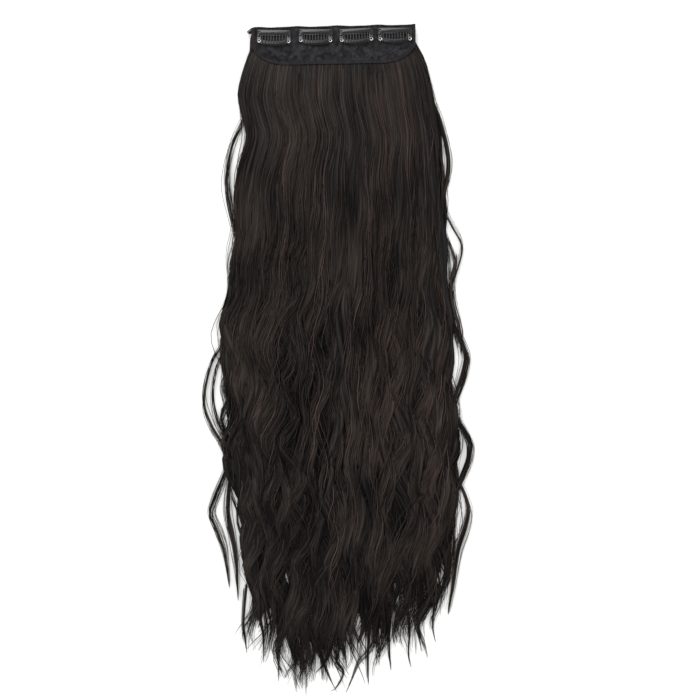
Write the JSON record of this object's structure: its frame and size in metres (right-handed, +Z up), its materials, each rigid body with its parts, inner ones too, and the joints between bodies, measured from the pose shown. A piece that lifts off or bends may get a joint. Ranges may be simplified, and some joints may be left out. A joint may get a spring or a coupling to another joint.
{
  "type": "clip-in hair extension weft",
  "caption": "Wide weft of long wavy dark hair under a cloth flap, with hinged snap combs that fasten it to the wearer's own hair.",
  "frame": {"origin": "middle of the whole part, on the surface that it lies on", "axes": "+X along the weft, +Y from the hair's tips up to the weft, +Z up from the surface, on the side of the combs"},
  "size_m": [0.2528, 0.6094, 0.0141],
  "materials": {
    "hair": "glossy heat-set synthetic fibre, dark brown",
    "cloth": "matt charcoal cloth with a faint embossed pattern",
    "tape": "matt folded tape",
    "enamel": "gloss black baked enamel on spring steel",
    "rivet": "bright nickel plate"
  },
  "bodies": {
    "root": {"hair": "hair", "flap": "cloth", "hem": "tape", "binding": "cloth", "clip_1_frame": "enamel", "clip_1_bar": "enamel", "clip_1_rivet_left": "rivet", "clip_1_rivet_right": "rivet", "clip_2_frame": "enamel", "clip_2_bar": "enamel", "clip_2_rivet_left": "rivet", "clip_2_rivet_right": "rivet", "clip_3_frame": "enamel", "clip_3_bar": "enamel", "clip_3_rivet_left": "rivet", "clip_3_rivet_right": "rivet", "clip_4_frame": "enamel", "clip_4_bar": "enamel", "clip_4_rivet_left": "rivet", "clip_4_rivet_right": "rivet"},
    "comb_1": {"clip_1_comb": "enamel"},
    "comb_2": {"clip_2_comb": "enamel"},
    "comb_3": {"clip_3_comb": "enamel"},
    "comb_4": {"clip_4_comb": "enamel"}
  },
  "joints": [
    {"name": "comb_1_snap", "type": "hinge", "parent": "root", "child": "comb_1", "pos_m": [-0.05806, 0.29534, 0.00755], "axis": [-0.9999, 0.014, 0], "range_deg": [0, 35]},
    {"name": "comb_2_snap", "type": "hinge", "parent": "root", "child": "comb_2", "pos_m": [-0.01994, 0.29607, 0.00755], "axis": [-1, 0.0052, 0], "range_deg": [0, 35]},
    {"name": "comb_3_snap", "type": "hinge", "parent": "root", "child": "comb_3", "pos_m": [0.01719, 0.29678, 0.00755], "axis": [-0.999, -0.0436, 0], "range_deg": [0, 35]},
    {"name": "comb_4_snap", "type": "hinge", "parent": "root", "child": "comb_4", "pos_m": [0.05272, 0.29746, 0.00755], "axis": [-1, -0.0087, 0], "range_deg": [0, 35]}
  ]
}
